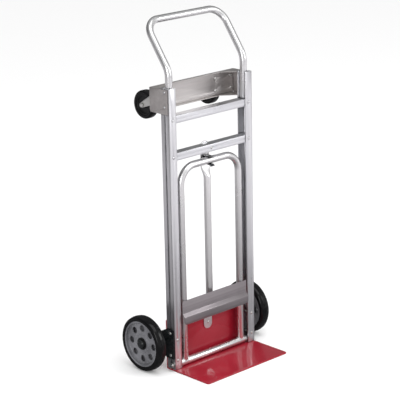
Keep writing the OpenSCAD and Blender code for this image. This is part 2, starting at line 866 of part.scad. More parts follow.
module tyre() {
    color("black") translate([(wheel_in_x + wheel_out_x) / 2, axle_y, wheel_r])
        rotate([0, 90, 0]) ring_tyre(rim_r, wheel_r, wheel_w, 13);
}

module wheel_disc_left() {
    left_side() wheel_disc();
}

module wheel_disc_right() {
    wheel_disc();
}

module wheel_hub_left() {
    left_side() wheel_hub();
}

module wheel_hub_right() {
    wheel_hub();
}

module wheel_bearings_left() {
    left_side() wheel_bearings();
}

module wheel_bearings_right() {
    wheel_bearings();
}

module tyre_left() {
    left_side() tyre();
}

module tyre_right() {
    tyre();
}

// ---- Swivel casters ------------------------------------------------------

// Puts a caster's own frame on the channel: y runs out along the swivel line
module on_channel() {
    translate([caster_x, channel_y, caster_z]) children();
}

module caster_plate() {
    color("silver") on_channel() difference() {
        block(-caster_plate_w / 2, caster_plate_w / 2, 0, caster_plate_t,
            -caster_plate_h / 2, caster_plate_h / 2);
        for (sx = [-1, 1], sz = [-1, 1])
            rod_y(sx * caster_bolt_dx / 2, -far, caster_plate_t + far,
                sz * caster_bolt_dz / 2, m8_r - 1 + bolt_gap);
        rod_y(0, -far, caster_plate_t + far, 0, kingpin_r);
    }
}

module caster_plate_left() {
    left_side() caster_plate();
}

module caster_plate_right() {
    caster_plate();
}

// Four round-headed bolts a caster, heads inside the channel and nuts on the plate
module caster_bolts() {
    color("whitesmoke") both_sides() on_channel() for (sx = [-1, 1], sz = [-1, 1])
        translate([sx * caster_bolt_dx / 2, 0, sz * caster_bolt_dz / 2]) {
            translate([0, -channel_t, 0]) rotate([90, 0, 0]) dome(m6_head_r - 0.4, 3);
            rod_y(0, -channel_t - 0.01, caster_plate_t + m6_nut_h + 1, 0, m8_r - 1);
            translate([0, caster_plate_t, 0]) rotate([-90, 0, 0])
                nut(m6_nut_r, m6_nut_h, m8_r - 1);
        }
}

// The fixed half of each swivel bearing
module caster_races() {
    color("silver") both_sides() on_channel() difference() {
        rod_y(0, caster_plate_t, caster_plate_t + race_t, 0, 24);
        rod_y(0, caster_plate_t - far, caster_plate_t + race_t + far, 0, kingpin_r + 3);
    }
}

// Riveted pins that hold the forks and that they turn on
module kingpins() {
    head_y = crown_y + crown_t + move_gap;
    color("silver") both_sides() on_channel() {
        rod_y(0, 0, head_y, 0, kingpin_r);
        rod_y(0, head_y, head_y + 4, 0, 11);
    }
}

// A pressed fork: a round crown and two tapering legs down to the axle
module caster_fork() {
    c = [caster_reach, -caster_trail];
    eye_r = 9.5;
    top = [crown_y, 21];
    low = [crown_y, -23];
    leg_x = fork_in_x + fork_t;
    color("silver") on_channel() difference() {
        union() {
            rod_y(0, crown_y, crown_y + crown_t, 0, 27);
            block(-leg_x, leg_x, crown_y, crown_y + crown_t, -23, 21);
            both_sides() {
                translate([fork_in_x, 0, 0]) rotate([90, 0, 90])
                    linear_extrude(height = fork_t) polygon([
                        top,
                        low,
                        touch_point(low, c, eye_r, 1),
                        c,
                        touch_point(top, c, eye_r, -1)
                    ]);
                rod_x(fork_in_x, leg_x, c[0], c[1], eye_r);
            }
        }
        rod_y(0, crown_y - far, crown_y + crown_t + far, 0, kingpin_r + run_gap);
        rod_x(-leg_x - far, leg_x + far, c[0], c[1], caster_pin_r + bolt_gap);
    }
}

// The wheel's bolt, its nut and the sleeve clamped between the fork's legs
module caster_axle() {
    leg_x = fork_in_x + fork_t;
    color("whitesmoke") on_channel() translate([0, caster_reach, -caster_trail]) {
        rod_x(-leg_x - 6, leg_x, 0, 0, caster_pin_r);
        translate([leg_x, 0, 0]) rotate([0, 90, 0]) cylinder(h = 4, r = 8.5, $fn = 6);
        translate([-leg_x, 0, 0]) rotate([0, -90, 0]) nut(8.5, 5, caster_pin_r);
        difference() {
            rod_x(-fork_in_x, fork_in_x, 0, 0, sleeve_r);
            rod_x(-fork_in_x - far, fork_in_x + far, 0, 0, caster_pin_r + bolt_gap);
        }
    }
}

caster_core_r = caster_wheel_d / 2 - 14;

module caster_wheel() {
    half = caster_wheel_w / 2;
    color("dimgray") on_channel() translate([0, caster_reach, -caster_trail]) difference() {
        union() {
            rod_x(-half + 3, half - 3, 0, 0, caster_core_r);
            rod_x(-half - 1.2, half + 1.2, 0, 0, sleeve_r + 6);
        }
        rod_x(-half - 2, half + 2, 0, 0, sleeve_r + run_gap);
        for (s = [-1, 1]) difference() {
            rod_x(min(s * (half - 9), s * half), max(s * (half - 9), s * half), 0, 0,
                caster_core_r - 5);
            rod_x(-half - 2, half + 2, 0, 0, sleeve_r + 6);
        }
    }
}

module caster_tyre() {
    color("black") on_channel() translate([0, caster_reach, -caster_trail])
        rotate([0, 90, 0]) ring_tyre(caster_core_r, caster_wheel_d / 2, caster_wheel_w, 8);
}

module caster_fork_left() {
    left_side() caster_fork();
}

module caster_fork_right() {
    caster_fork();
}

module caster_axle_left() {
    left_side() caster_axle();
}

module caster_axle_right() {
    caster_axle();
}

module caster_wheel_left() {
    left_side() caster_wheel();
}

module caster_wheel_right() {
    caster_wheel();
}

module caster_tyre_left() {
    left_side() caster_tyre();
}

module caster_tyre_right() {
    caster_tyre();
}

// ---- Drawing -------------------------------------------------------------

rail_left();
rail_right();
crossbar_upper();
crossbar_middle();
crossbar_rivets();
nose_plate();
nose_bolts();
handle_loop();
caster_channel();
channel_rivets();
centre_strut();
strut_fasteners();
hoop_clip();
clip_rivet();
pivot_rod();
pivot_nuts();
pivot_spacers();
axle_bracket_left();
axle_bracket_right();
bracket_bolts();
axle();
axle_spacers();
axle_washers();
axle_caps();
caster_plate_left();
caster_plate_right();
caster_bolts();
caster_races();
kingpins();
hoop_tube();
hoop_cross_tube();
hoop_bushes();
hoop_plate();
wheel_disc_left();
wheel_hub_left();
wheel_bearings_left();
tyre_left();
wheel_disc_right();
wheel_hub_right();
wheel_bearings_right();
tyre_right();
caster_fork_left();
caster_axle_left();
caster_wheel_left();
caster_tyre_left();
caster_fork_right();
caster_axle_right();
caster_wheel_right();
caster_tyre_right();
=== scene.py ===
"""Convertible hand truck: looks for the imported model, in metres."""
import json
import math
import bpy
from mathutils import Matrix, Vector


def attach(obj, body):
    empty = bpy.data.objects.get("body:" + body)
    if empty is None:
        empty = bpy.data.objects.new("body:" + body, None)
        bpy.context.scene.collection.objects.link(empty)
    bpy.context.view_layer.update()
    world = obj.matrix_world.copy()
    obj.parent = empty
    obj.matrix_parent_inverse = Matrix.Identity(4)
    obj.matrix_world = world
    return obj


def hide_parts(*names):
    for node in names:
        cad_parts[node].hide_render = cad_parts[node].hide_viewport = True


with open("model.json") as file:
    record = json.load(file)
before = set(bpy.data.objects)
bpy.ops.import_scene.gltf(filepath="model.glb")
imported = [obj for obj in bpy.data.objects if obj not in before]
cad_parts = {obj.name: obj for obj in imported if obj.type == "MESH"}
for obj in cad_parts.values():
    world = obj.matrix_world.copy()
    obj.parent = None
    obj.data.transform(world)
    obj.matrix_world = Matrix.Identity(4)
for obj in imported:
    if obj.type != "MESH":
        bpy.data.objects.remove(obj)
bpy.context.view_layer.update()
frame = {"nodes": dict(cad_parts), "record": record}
scene = bpy.context.scene
record = frame["record"]
body_of_node = {n: b for b, ns in record["behaviour"]["bodies"].items() for n in ns}
MM = 0.001

# ---- Side rails -------------------------------------------------------------
# Two aluminium channel extrusions with a grooved outer side. They leave the press with
# fine lines along their length, and their corners are eased by the die.


def only(*chosen):
    """Selects just these objects and makes the first one active."""
    bpy.ops.object.select_all(action="DESELECT")
    for piece in chosen:
        piece.select_set(True)
    bpy.context.view_layer.objects.active = chosen[0]


def apply_all(piece):
    """Applies every modifier of a piece, in order."""
    only(piece)
    for name in [m.name for m in piece.modifiers]:
        bpy.ops.object.modifier_apply(modifier=name)


def eased(node, width, angle=30, segments=2):
    """A copy of a CAD node with its sharp edges rounded by width, in millimetres."""
    piece = bpy.data.objects.new(node + "_finished", frame["nodes"][node].data.copy())
    scene.collection.objects.link(piece)
    only(piece)
    bpy.ops.mesh.customdata_custom_splitnormals_clear()
    bpy.ops.object.mode_set(mode="EDIT")
    bpy.ops.mesh.select_all(action="SELECT")
    bpy.ops.mesh.remove_doubles(threshold=0.004 * MM)
    bpy.ops.mesh.dissolve_limited(angle_limit=math.radians(0.4))
    bpy.ops.object.mode_set(mode="OBJECT")
    bevel = piece.modifiers.new("eased edges", "BEVEL")
    bevel.width = width * MM
    bevel.segments = segments
    bevel.limit_method = "ANGLE"
    bevel.angle_limit = math.radians(angle)
    bevel.use_clamp_overlap = False
    bevel.harden_normals = False
    apply_all(piece)
    bpy.ops.object.shade_smooth_by_angle(angle=math.radians(35))
    return piece


def fit(piece, node, material):
    """Puts a finished piece in the place of its CAD node, on the same body."""
    piece.data.materials.clear()
    piece.data.materials.append(material)
    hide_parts(node)
    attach(piece, body_of_node[node])


def node_group(name, inputs, outputs):
    """A new shader node group with these sockets, and its two end nodes."""
    group = bpy.data.node_groups.new(name, "ShaderNodeTree")
    for label, kind, value in inputs:
        socket = group.interface.new_socket(label, in_out="INPUT", socket_type=kind)
        socket.default_value = value
    for label, kind in outputs:
        group.interface.new_socket(label, in_out="OUTPUT", socket_type=kind)
    return group, group.nodes.new("NodeGroupInput"), group.nodes.new("NodeGroupOutput")


def add_node(tree, kind, **settings):
    """A new node; a setting named after a socket, with _ for spaces, sets its value."""
    node = tree.nodes.new(kind)
    for key, value in settings.items():
        label = key.replace("_", " ")
        if label in node.inputs:
            node.inputs[label].default_value = value
        else:
            setattr(node, key, value)
    return node


FLOAT, VECTOR = "NodeSocketFloat", "NodeSocketVector"

# Lines left by a die or a brush. Stretch is large across the lines and small along them.
long_grain, group_in, group_out = node_group(
    "long grain",
    [("Stretch", VECTOR, (900.0, 900.0, 6.0))],
    [("Height", FLOAT), ("Tone", FLOAT)],
)
place = add_node(long_grain, "ShaderNodeTexCoord")
stretch = add_node(long_grain, "ShaderNodeVectorMath", operation="MULTIPLY")
lines = add_node(long_grain, "ShaderNodeTexNoise", Scale=1.0, Detail=3.0, Roughness=0.6)
coarse = add_node(long_grain, "ShaderNodeVectorMath", operation="SCALE", Scale=0.16)
bands = add_node(long_grain, "ShaderNodeTexNoise", Scale=1.0, Detail=1.0)
long_grain.links.new(place.outputs["Object"], stretch.inputs[0])
long_grain.links.new(group_in.outputs["Stretch"], stretch.inputs[1])
long_grain.links.new(stretch.outputs[0], lines.inputs["Vector"])
long_grain.links.new(stretch.outputs[0], coarse.inputs[0])
long_grain.links.new(coarse.outputs[0], bands.inputs["Vector"])
long_grain.links.new(lines.outputs["Fac"], group_out.inputs["Height"])
long_grain.links.new(bands.outputs["Fac"], group_out.inputs["Tone"])

# Where hands, straps and loads have rubbed: soft patches, 0 to 1.
handling, group_in, group_out = node_group(
    "handling marks",
    [("Scale", FLOAT, 9.0), ("Spread", FLOAT, 0.5)],
    [("Mask", FLOAT), ("Scuff", FLOAT)],
)
place = add_node(handling, "ShaderNodeTexCoord")
patches = add_node(handling, "ShaderNodeTexNoise", Detail=4.0, Roughness=0.55)
centre = add_node(handling, "ShaderNodeMath", operation="SUBTRACT")
gain = add_node(handling, "ShaderNodeMath", operation="MULTIPLY_ADD", use_clamp=True)
gain.inputs[1].default_value = 4.0
gain.inputs[2].default_value = 0.5
scuff_place = add_node(handling, "ShaderNodeMapping", Scale=(60.0, 110.0, 420.0))
scuff_place.inputs["Rotation"].default_value = (0.5, 0.9, 0.3)
scuffs = add_node(handling, "ShaderNodeTexNoise", Scale=1.0, Detail=2.0)
scuff_ramp = add_node(handling, "ShaderNodeMapRange")
scuff_ramp.inputs["From Min"].default_value = 0.64
scuff_ramp.inputs["From Max"].default_value = 0.74
handling.links.new(place.outputs["Object"], patches.inputs["Vector"])
handling.links.new(group_in.outputs["Scale"], patches.inputs["Scale"])
handling.links.new(patches.outputs["Fac"], centre.inputs[0])
handling.links.new(group_in.outputs["Spread"], centre.inputs[1])
handling.links.new(centre.outputs[0], gain.inputs[0])
handling.links.new(place.outputs["Object"], scuff_place.inputs["Vector"])
handling.links.new(scuff_place.outputs[0], scuffs.inputs["Vector"])
handling.links.new(scuffs.outputs["Fac"], scuff_ramp.inputs["Value"])
handling.links.new(gain.outputs[0], group_out.inputs["Mask"])
handling.links.new(scuff_ramp.outputs[0], group_out.inputs["Scuff"])

# Corners worn bare, with painted highlights on them: how far the surface turns within a small
# radius, broken up.
edge_wear_and_highlight, group_in, group_out = node_group(
    "edge wear and highlight", [("Radius", FLOAT, 0.001), ("Gain", FLOAT, 3.0)], [("Edge", FLOAT)]
)
place = add_node(edge_wear_and_highlight, "ShaderNodeTexCoord")
rounded = add_node(edge_wear_and_highlight, "ShaderNodeBevel", samples=4)
face = add_node(edge_wear_and_highlight, "ShaderNodeNewGeometry")
turn = add_node(edge_wear_and_highlight, "ShaderNodeVectorMath", operation="DOT_PRODUCT")
bend = add_node(edge_wear_and_highlight, "ShaderNodeMath", operation="SUBTRACT")
bend.inputs[0].default_value = 1.0
broken = add_node(edge_wear_and_highlight, "ShaderNodeTexNoise", Scale=160.0, Detail=3.0)
patchy = add_node(edge_wear_and_highlight, "ShaderNodeMath", operation="MULTIPLY")
amount = add_node(edge_wear_and_highlight, "ShaderNodeMath", operation="MULTIPLY", use_clamp=True)
edge_wear_and_highlight.links.new(group_in.outputs["Radius"], rounded.inputs["Radius"])
edge_wear_and_highlight.links.new(rounded.outputs[0], turn.inputs[0])
edge_wear_and_highlight.links.new(face.outputs["Normal"], turn.inputs[1])
edge_wear_and_highlight.links.new(turn.outputs["Value"], bend.inputs[1])
edge_wear_and_highlight.links.new(place.outputs["Object"], broken.inputs["Vector"])
edge_wear_and_highlight.links.new(bend.outputs[0], patchy.inputs[0])
edge_wear_and_highlight.links.new(broken.outputs["Fac"], patchy.inputs[1])
edge_wear_and_highlight.links.new(patchy.outputs[0], amount.inputs[0])
edge_wear_and_highlight.links.new(group_in.outputs["Gain"], amount.inputs[1])
edge_wear_and_highlight.links.new(amount.outputs[0], group_out.inputs["Edge"])


# Painted shade in inside corners and grooves, from ambient occlusion broken up by noise, 0 to 1.
painted_recess_shade, group_in, group_out = node_group(
    "painted recess shade", [("Reach", FLOAT, 0.006), ("Gain", FLOAT, 1.5)], [("Mask", FLOAT)]
)
place = add_node(painted_recess_shade, "ShaderNodeTexCoord")
open_sky = add_node(painted_recess_shade, "ShaderNodeAmbientOcclusion", samples=6)
closed = add_node(painted_recess_shade, "ShaderNodeMath", operation="SUBTRACT")
closed.inputs[0].default_value = 1.0
clouds = add_node(painted_recess_shade, "ShaderNodeTexNoise", Scale=40.0, Detail=3.0)
uneven = add_node(painted_recess_shade, "ShaderNodeMath", operation="MULTIPLY_ADD")
uneven.inputs[1].default_value = 0.6
uneven.inputs[2].default_value = 0.6
patchy_shade = add_node(painted_recess_shade, "ShaderNodeMath", operation="MULTIPLY")
amount = add_node(painted_recess_shade, "ShaderNodeMath", operation="MULTIPLY", use_clamp=True)
painted_recess_shade.links.new(group_in.outputs["Reach"], open_sky.inputs["Distance"])
painted_recess_shade.links.new(open_sky.outputs["AO"], closed.inputs[1])
painted_recess_shade.links.new(place.outputs["Object"], clouds.inputs["Vector"])
painted_recess_shade.links.new(clouds.outputs["Fac"], uneven.inputs[0])
painted_recess_shade.links.new(closed.outputs[0], patchy_shade.inputs[0])
painted_recess_shade.links.new(uneven.outputs[0], patchy_shade.inputs[1])
painted_recess_shade.links.new(patchy_shade.outputs[0], amount.inputs[0])
painted_recess_shade.links.new(group_in.outputs["Gain"], amount.inputs[1])
painted_recess_shade.links.new(amount.outputs[0], group_out.inputs["Mask"])


def use_group(tree, group, **values):
    """A node that places a group in a material with its own values."""
    node = tree.nodes.new("ShaderNodeGroup")
    node.node_tree = group
    for label, value in values.items():
        node.inputs[label].default_value = value
    return node


def new_material(name):
    """An empty node material with its Principled shader joined to the output."""
    material = bpy.data.materials.new(name)
    material.use_nodes = True
    tree = material.node_tree
    tree.nodes.clear()
    shader = tree.nodes.new("ShaderNodeBsdfPrincipled")
    output = tree.nodes.new("ShaderNodeOutputMaterial")
    tree.links.new(shader.outputs[0], output.inputs["Surface"])
    return material, tree, shader


def mix_colour(tree, factor, low, high):
    """A Mix node between two colours, driven by a mask; low may be another node."""
    mix = add_node(tree, "ShaderNodeMix", data_type="RGBA")
    tree.links.new(factor, mix.inputs["Factor"])
    for value, socket in ((low, mix.inputs[6]), (high, mix.inputs[7])):
        if isinstance(value, tuple):
            socket.default_value = (*value, 1.0)
        else:
            tree.links.new(value, socket)
    return mix.outputs[2]


def spread(tree, value, low, high):
    """Maps a 0 to 1 value onto low to high."""
    ranged = add_node(tree, "ShaderNodeMapRange")
    ranged.inputs["To Min"].default_value = low
    ranged.inputs["To Max"].default_value = high
    tree.links.new(value, ranged.inputs["Value"])
    return ranged.outputs[0]


def bare_metal(name, dark, light, stretch_by, rough, bump=0.08, wear_and_highlight_gain=1.2, shade_gain=1.0):
    """Unpainted metal with lines along one direction, hand marks, corners painted bright as wear
    and as a painted highlight, and painted shade in recesses.
    """
    material, tree, shader = new_material(name)
    grain = use_group(tree, long_grain, Stretch=stretch_by)
    marks = use_group(tree, handling, Scale=7.0, Spread=0.5)
    edges = use_group(tree, edge_wear_and_highlight, Radius=0.8 * MM, Gain=wear_and_highlight_gain)
    tone = mix_colour(tree, grain.outputs["Tone"], dark, light)
    # Corners are painted near white, partly as wear and partly as a painted highlight.
    rubbed_and_highlit = mix_colour(tree, edges.outputs["Edge"], tone, (0.93, 0.93, 0.94))
    # Recesses are painted darker, as painted shade.
    recess_shading = use_group(tree, painted_recess_shade, Reach=5.0 * MM, Gain=shade_gain)
    shade_colour = (0.22 * dark[0], 0.21 * dark[1], 0.21 * dark[2])
    shaded_colour = mix_colour(tree, recess_shading.outputs["Mask"], rubbed_and_highlit, shade_colour)
    roughness = spread(tree, marks.outputs["Mask"], rough[0], rough[1])
    lined = add_node(tree, "ShaderNodeMath", operation="MULTIPLY_ADD")
    lined.inputs[1].default_value = 0.12
    tree.links.new(grain.outputs["Height"], lined.inputs[0])
    tree.links.new(roughness, lined.inputs[2])
    relief = add_node(tree, "ShaderNodeBump", Strength=bump, Distance=0.1 * MM)
    tree.links.new(grain.outputs["Height"], relief.inputs["Height"])
    tree.links.new(shaded_colour, shader.inputs["Base Color"])
    tree.links.new(lined.outputs[0], shader.inputs["Roughness"])
    tree.links.new(relief.outputs[0], shader.inputs["Normal"])
    shader.inputs["Metallic"].default_value = 1.0
    return material


# The rails get a stronger painted shade in their grooves and inside corners.
upright_aluminium = bare_metal(
    "extruded aluminium upright", (0.70, 0.70, 0.725), (0.86, 0.86, 0.885),
    (1100.0, 1100.0, 5.0), (0.22, 0.34), shade_gain=2.2,
)
for node in ("rail_left", "rail_right"):
    fit(eased(node, 0.45), node, upright_aluminium)

# ---- Cross bars ---------------------------------------------------------------
# Two box-section aluminium bars between the rails, cut square and blind-riveted through
# the rails' front flanges. Their press lines run across the truck.

level_aluminium = bare_metal(
    "extruded aluminium across", (0.70, 0.705, 0.735), (0.86, 0.865, 0.89),
    (5.0, 1100.0, 1100.0), (0.22, 0.34),
)
for node in ("crossbar_upper", "crossbar_middle"):
    fit(eased(node, 0.6), node, level_aluminium)

rivet_aluminium = bare_metal(
    "rivet aluminium", (0.74, 0.74, 0.76), (0.9, 0.9, 0.92), (300.0, 300.0, 300.0),
    (0.16, 0.3), bump=0.05,
)


def new_piece(name):
    """Names the active object and returns it."""
    piece = bpy.context.active_object
    piece.name = name
    piece.data.name = name
    return piece


def turned(name, profile, centre, steps=96):
    """Spins a closed profile of (x, radius) points, in millimetres, about a line along X."""
    bpy.ops.object.select_all(action="DESELECT")
    bpy.ops.mesh.primitive_circle_add(vertices=len(profile), fill_type="NOTHING")
    piece = new_piece(name)
    for vertex, (x, radius) in zip(piece.data.vertices, profile):
        vertex.co = (x * MM, centre[0] * MM, (centre[1] + radius) * MM)
    bpy.ops.object.mode_set(mode="EDIT")
    bpy.ops.mesh.select_all(action="SELECT")
    bpy.ops.mesh.spin(
        steps=steps, angle=2 * math.pi, center=(0.0, centre[0] * MM, centre[1] * MM),
        axis=(1.0, 0.0, 0.0),
    )
    bpy.ops.mesh.select_all(action="SELECT")
    bpy.ops.mesh.remove_doubles(threshold=0.003 * MM)
    bpy.ops.mesh.normals_make_consistent(inside=False)
    bpy.ops.object.mode_set(mode="OBJECT")
    bpy.ops.object.shade_smooth_by_angle(angle=math.radians(35))
    return piece


def copy_at(piece, name, move=(0.0, 0.0, 0.0), turn=None):
    """A copy with its own mesh, turned by (angle, axis) and then moved, in millimetres."""
    bpy.ops.object.select_all(action="DESELECT")
    copy = bpy.data.objects.new(name, piece.data.copy())
    scene.collection.objects.link(copy)
    only(copy)
    bpy.ops.object.mode_set(mode="EDIT")
    bpy.ops.mesh.select_all(action="SELECT")
    if turn:
        bpy.ops.transform.rotate(
            value=-math.radians(turn[0]), orient_axis=turn[1], orient_type="GLOBAL",
            center_override=(0.0, 0.0, 0.0),
        )
    bpy.ops.transform.translate(value=[v * MM for v in move])
    bpy.ops.object.mode_set(mode="OBJECT")
    return copy


def joined(pieces, name):
    """Joins pieces into one object."""
    only(*pieces)
    bpy.ops.object.join()
    return new_piece(name)


def drop(piece):
    """Removes a pattern piece once it has been copied."""
    bpy.data.objects.remove(piece, do_unlink=True)


# A blind rivet facing +X from the origin: domed flange, hole in it and the snapped stem,
# with its shank and the swelled end behind.
rivet_shank = 2.4


def blind_rivet(grip):
    """One rivet, with its swelled end behind this thickness of metal."""
    profile = [(1.5, 0.0001), (1.7, 0.8), (1.5, 1.25), (0.7, 1.35), (1.9, 1.6), (2.2, 2.2)]
    profile += [(2.0, 3.1), (1.45, 4.0), (0.7, 4.65), (0.25, 4.8), (0.0, 4.7)]
    profile += [(0.0, rivet_shank), (-grip, rivet_shank), (-grip, rivet_shank + 1.2)]
    profile += [(-grip - 2.6, rivet_shank + 0.9), (-grip - 3.0, rivet_shank - 0.4)]
    profile += [(-grip - 3.0, 0.0001)]
    return turned("rivet_pattern", profile, (0.0, 0.0), steps=24)


def rivet_row(node, grip, turns, places):
    """Sets a rivet at each place, in millimetres, and stands them for their CAD node."""
    pattern = blind_rivet(grip)
    rivets = [
        copy_at(pattern, "rivet", place, turn) for place, turn in zip(places, turns)
    ]
    drop(pattern)
    fit(joined(rivets, node + "_finished"), node, rivet_aluminium)


bar_rivet_across, bar_rivet_up = 183.5, (919.5, 787.3)
rivet_row(
    "crossbar_rivets", 5.5, [(-90, "Z")] * 4,
    [(side * bar_rivet_across, 0.0, up) for side in (-1, 1) for up in bar_rivet_up],
)

# ---- Nose plate ----------------------------------------------------------------
# One steel sheet, bent up behind the rails, powder coated a glossy deep red. The coat has
# a faint orange peel and has worn thin along the front edge. Its edges are painted lighter,
# partly as that wear and partly as a painted highlight.

nose_red = (0.30, 0.008, 0.020)
red_coat, tree, shader = new_material("red powder coat")
marks = use_group(tree, handling, Scale=5.0, Spread=0.52)
edges = use_group(tree, edge_wear_and_highlight, Radius=1.2 * MM, Gain=2.2)
place = add_node(tree, "ShaderNodeTexCoord")
shade = mix_colour(tree, marks.outputs["Mask"], nose_red, (0.36, 0.014, 0.030))
thin_and_highlit = mix_colour(tree, edges.outputs["Edge"], shade, (0.42, 0.05, 0.06))
peel = add_node(tree, "ShaderNodeTexNoise", Scale=420.0, Detail=2.0)
relief = add_node(tree, "ShaderNodeBump", Strength=0.06, Distance=0.1 * MM)
tree.links.new(place.outputs["Object"], peel.inputs["Vector"])
tree.links.new(peel.outputs["Fac"], relief.inputs["Height"])
tree.links.new(relief.outputs[0], shader.inputs["Normal"])
tree.links.new(thin_and_highlit, shader.inputs["Base Color"])
tree.links.new(spread(tree, marks.outputs["Mask"], 0.32, 0.42), shader.inputs["Roughness"])
shader.inputs["Coat Weight"].default_value = 0.55
shader.inputs["Coat Roughness"].default_value = 0.035
shader.inputs["Specular IOR Level"].default_value = 0.3
fit(eased("nose_plate", 1.2, segments=3), "nose_plate", red_coat)

zinc_steel = bare_metal(
    "zinc plated steel", (0.60, 0.60, 0.58), (0.78, 0.78, 0.76), (240.0, 240.0, 240.0),
    (0.24, 0.4), bump=0.08,
)
fastener_edge = 0.35
fit(eased("nose_bolts", fastener_edge), "nose_bolts", zinc_steel)

# ---- Handle ---------------------------------------------------------------------
# One inch aluminium tube, bent at four places and left bright. Hands have dulled it in
# soft patches.


def drawn_tube(name, dark, light, rough):
    """Bright drawn tube: soft clouds, fine scratches, dull hand marks and painted shade in
    recesses.
    """
    material, tree, shader = new_material(name)
    marks = use_group(tree, handling, Scale=6.0, Spread=0.5)
    # Inside corners are painted darker, as painted shade.
    recess_shading = use_group(tree, painted_recess_shade, Reach=6.0 * MM, Gain=0.8)
    place = add_node(tree, "ShaderNodeTexCoord")
    clouds = add_node(tree, "ShaderNodeTexNoise", Scale=5.0, Detail=2.0)
    scratches = add_node(tree, "ShaderNodeTexNoise", Scale=900.0, Detail=2.0)
    tree.links.new(place.outputs["Object"], clouds.inputs["Vector"])
    tree.links.new(place.outputs["Object"], scratches.inputs["Vector"])
    tone = mix_colour(tree, clouds.outputs["Fac"], dark, light)
    scuffed = mix_colour(tree, marks.outputs["Scuff"], tone, tuple(0.93 * c for c in dark))
    shaded_colour = mix_colour(tree, recess_shading.outputs["Mask"], scuffed, tuple(0.2 * c for c in dark))
    relief = add_node(tree, "ShaderNodeBump", Strength=0.012, Distance=0.02 * MM)
    tree.links.new(scratches.outputs["Fac"], relief.inputs["Height"])
    tree.links.new(shaded_colour, shader.inputs["Base Color"])
    tree.links.new(spread(tree, marks.outputs["Mask"], *rough), shader.inputs["Roughness"])
    tree.links.new(relief.outputs[0], shader.inputs["Normal"])
    shader.inputs["Metallic"].default_value = 1.0
    return material


bright_tube = drawn_tube(
    "drawn aluminium tube", (0.72, 0.72, 0.73), (0.86, 0.86, 0.865), (0.24, 0.32)
)


tube_radius, tube_wall = 12.7, 2.0


def bent_tube(name, start, heading, runs, radius=tube_radius, wall=tube_wall):
    """Draws a tube along straight runs, a length each, and bends, each (radius, degrees,
    axis). All lengths are in millimetres."""
    place, heading = Vector(start), Vector(heading).normalized()
    bpy.ops.object.select_all(action="DESELECT")
    bpy.ops.mesh.primitive_circle_add(
        vertices=48, radius=radius * MM, fill_type="NOTHING", location=place * MM,
        rotation=heading.to_track_quat("Z", "Y").to_euler(),
    )
    piece = new_piece(name)
    bpy.ops.object.transform_apply(location=True, rotation=True, scale=True)
    bpy.ops.object.mode_set(mode="EDIT")
    bpy.ops.mesh.select_all(action="SELECT")
    for run in runs:
        if isinstance(run, float):
            bpy.ops.mesh.extrude_edges_move(
                TRANSFORM_OT_translate={"value": heading * run * MM}
            )
            place = place + heading * run
            continue
        bend_radius, degrees, axis = run[0], run[1], Vector(run[2])
        centre = place + axis.cross(heading) * bend_radius
        bpy.ops.mesh.spin(
            steps=max(4, round(degrees / 4)), angle=-math.radians(degrees),
            center=centre * MM, axis=axis,
        )
        turn = Matrix.Rotation(math.radians(degrees), 3, axis)
        place = centre + turn @ (place - centre)
        heading = turn @ heading
    bpy.ops.mesh.select_all(action="SELECT")
    bpy.ops.mesh.remove_doubles(threshold=0.003 * MM)
    bpy.ops.mesh.normals_make_consistent(inside=False)
    bpy.ops.object.mode_set(mode="OBJECT")
    skin = piece.modifiers.new("tube wall", "SOLIDIFY")
    skin.thickness = wall * MM
    skin.offset = -1.0
    skin.use_even_offset = True
    soften = piece.modifiers.new("deburred ends", "BEVEL")
    soften.width = 0.3 * MM
    soften.segments = 2
    soften.limit_method = "ANGLE"
    soften.angle_limit = math.radians(50)
    apply_all(piece)
    bpy.ops.object.shade_smooth_by_angle(angle=math.radians(35))
    return piece


handle_across, handle_mid, handle_foot, bend_up = 179.3, 20.75, 936.0, 1088.0
handle_bend, handle_lean, handle_slant, handle_corner = 70.0, 36.0, 195.0, 58.0
lean = math.radians(handle_lean)
bend_run = handle_bend * math.tan(lean / 2)
corner_axis = (0.0, math.cos(lean), -math.sin(lean))
leg_run = bend_up - bend_run - handle_foot
slant_run = handle_slant - handle_corner - bend_run
handle = bent_tube(
    "handle_tube", (-handle_across, handle_mid, handle_foot), (0.0, 0.0, 1.0),
    [leg_run, (handle_bend, handle_lean, (-1.0, 0.0, 0.0)), slant_run,
     (handle_corner, 90.0, corner_axis), 2 * (handle_across - handle_corner),
     (handle_corner, 90.0, corner_axis), slant_run,
     (handle_bend, handle_lean, (1.0, 0.0, 0.0)), leg_run],
)
fit(handle, "handle_loop", bright_tube)

# ---- Caster channel ---------------------------------------------------------------
# Aluminium sheet folded into a shallow box behind the tops of the rails. Rolled sheet is
# duller and greyer than the extrusions.

sheet_aluminium = bare_metal(
    "rolled aluminium sheet", (0.50, 0.475, 0.465), (0.66, 0.63, 0.62),
    (9.0, 500.0, 500.0), (0.34, 0.5),
)
fit(eased("caster_channel", 0.5), "caster_channel", sheet_aluminium)
channel_rivet_up = (966.0, 1017.0)
rivet_row(
    "channel_rivets", 14.0, [(180, "Z"), (180, "Z"), None, None],
    [(side * 202.0, 20.75, up) for side in (-1, 1) for up in channel_rivet_up],
)

# ---- Strut and spring clip ----------------------------------------------------------
# An aluminium tube pressed flat at both ends stands between the nose plate's upright and
# the middle bar. A dark spring-steel clip on it grips the hoop's top bar.

strut_aluminium = drawn_tube(
    "drawn aluminium strut", (0.78, 0.775, 0.78), (0.90, 0.895, 0.90), (0.28, 0.36)
)
strut_back, strut_radius, flat_half, flat_wide = 41.5, tube_radius, 2.0, 20.0
lower_end, upper_end, lower_flat, upper_flat, taper = 100.0, 807.8, 162.0, 719.8, 45.0


